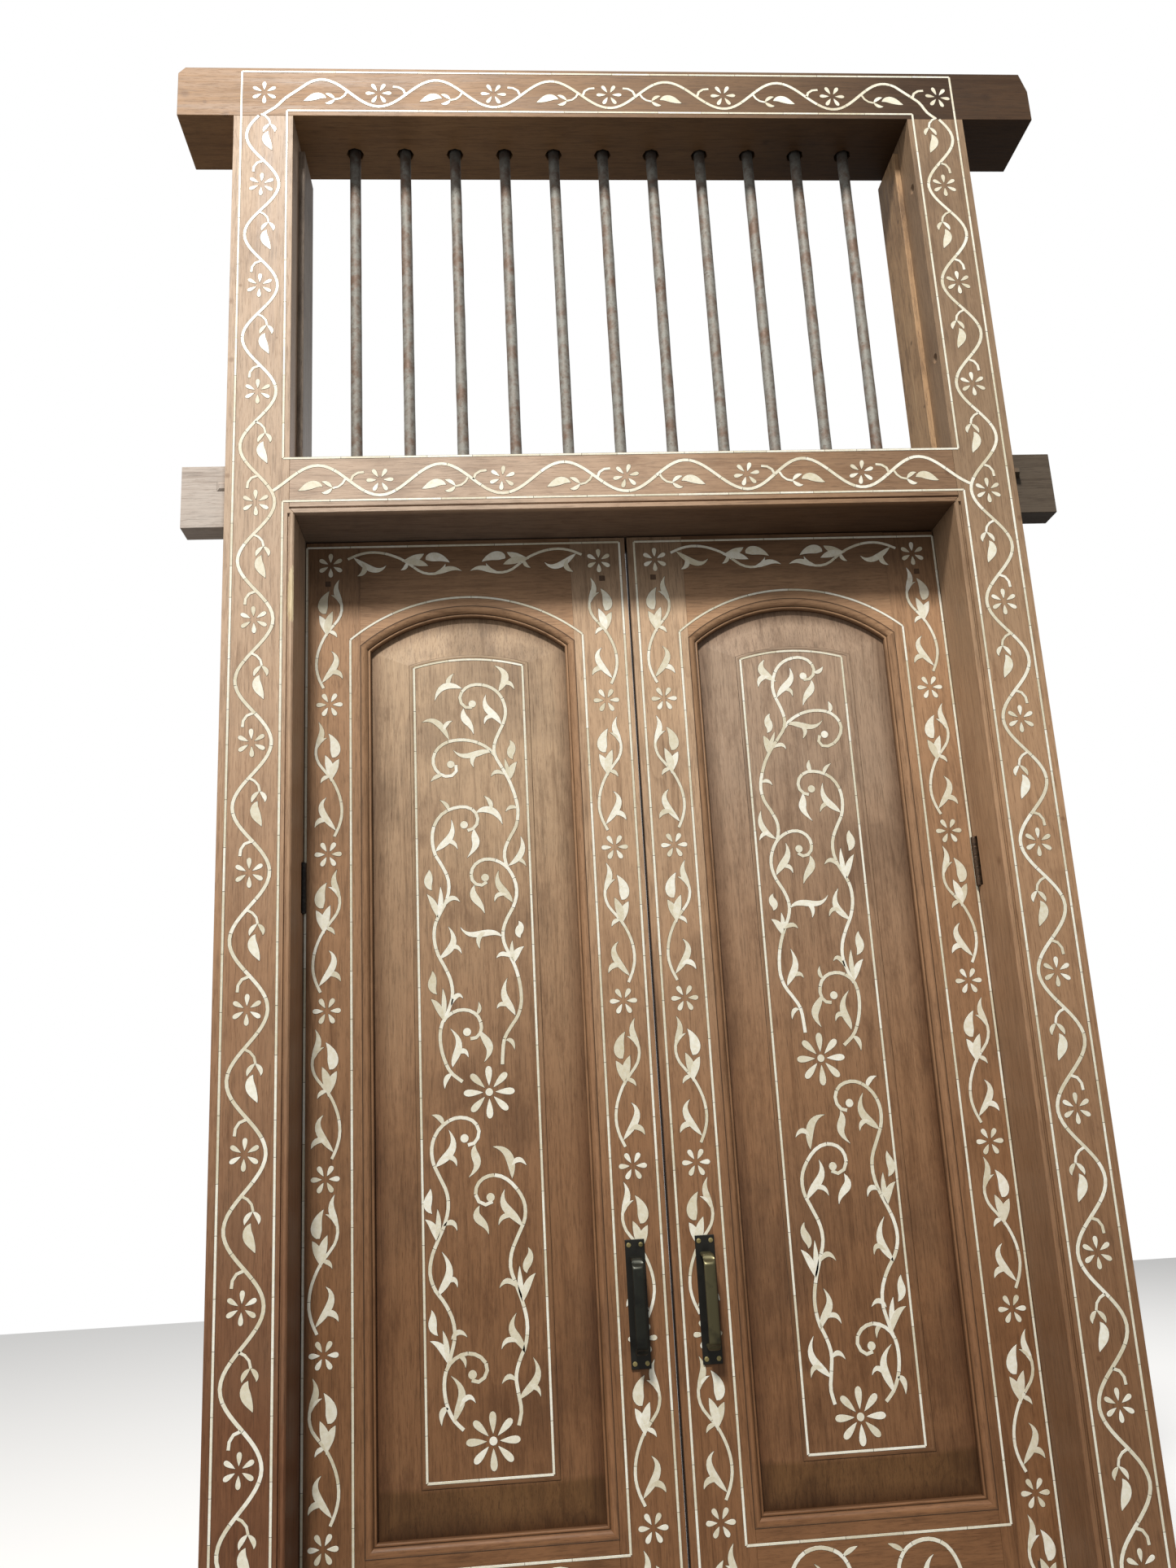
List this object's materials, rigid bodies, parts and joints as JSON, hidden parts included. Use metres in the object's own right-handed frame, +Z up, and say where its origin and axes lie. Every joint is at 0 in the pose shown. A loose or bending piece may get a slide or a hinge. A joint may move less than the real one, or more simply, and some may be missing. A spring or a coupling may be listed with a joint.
{
  "type": "double door with frame and barred light",
  "caption": "Tall pair of panelled wooden doors in a pegged frame, inlaid with bone strings, flowers and vines, with a barred light above and pull handles.",
  "frame": {"origin": "on the floor, midway between the jambs' outer faces and midway through the frame's depth", "axes": "+X to the right seen from the front, +Y from the front face back into the wall, +Z up"},
  "size_m": [1.528, 0.1528, 3.1],
  "materials": {
    "teak": "oiled and worn teak, satin",
    "bone": "polished bone, cream with dark joints",
    "bar_metal": "worn iron with old paint and rust",
    "iron": "black iron",
    "brass": "aged brass"
  },
  "bodies": {
    "frame": {"grille_bar_01": "bar_metal", "grille_bar_02": "bar_metal", "grille_bar_03": "bar_metal", "grille_bar_04": "bar_metal", "grille_bar_05": "bar_metal", "grille_bar_06": "bar_metal", "grille_bar_07": "bar_metal", "grille_bar_08": "bar_metal", "grille_bar_09": "bar_metal", "grille_bar_10": "bar_metal", "grille_bar_11": "bar_metal", "head_beam": "teak", "hinge_frame_plate_lower_left": "iron", "hinge_frame_plate_lower_right": "iron", "hinge_frame_plate_upper_left": "iron", "hinge_frame_plate_upper_right": "iron", "hinge_pin_lower_left": "iron", "hinge_pin_lower_right": "iron", "hinge_pin_upper_left": "iron", "hinge_pin_upper_right": "iron", "inlay_head": "bone", "inlay_jamb_left": "bone", "inlay_jamb_right": "bone", "inlay_transom": "bone", "jamb_left": "teak", "jamb_right": "teak", "light_stop_left": "teak", "light_stop_right": "teak", "transom_peg_left": "teak", "transom_peg_right": "teak", "transom_rail": "teak"},
    "leaf_left": {"bottom_rail_left": "teak", "draw_pins_left": "teak", "handle_grip_left": "brass", "handle_plate_left": "brass", "handle_screws_left": "brass", "hinge_leaf_plate_lower_left": "iron", "hinge_leaf_plate_upper_left": "iron", "hinge_stile_left": "teak", "inlay_leaf_left": "bone", "lock_rail_left": "teak", "lower_panel_left": "teak", "meeting_stile_left": "teak", "top_rail_left": "teak", "upper_panel_left": "teak"},
    "leaf_right": {"bottom_rail_right": "teak", "draw_pins_right": "teak", "handle_grip_right": "brass", "handle_plate_right": "brass", "handle_screws_right": "brass", "hinge_leaf_plate_lower_right": "iron", "hinge_leaf_plate_upper_right": "iron", "hinge_stile_right": "teak", "inlay_leaf_right": "bone", "lock_rail_right": "teak", "lower_panel_right": "teak", "meeting_stile_right": "teak", "top_rail_right": "teak", "upper_panel_right": "teak"}
  },
  "joints": [
    {"name": "leaf_left_hinge", "type": "hinge", "parent": "frame", "child": "leaf_left", "pos_m": [-0.53925, 0.025, 1.124], "axis": [0, 0, -1], "range_deg": [0, 90]},
    {"name": "leaf_right_hinge", "type": "hinge", "parent": "frame", "child": "leaf_right", "pos_m": [0.53925, 0.025, 1.124], "axis": [0, 0, 1], "range_deg": [0, 90]}
  ]
}
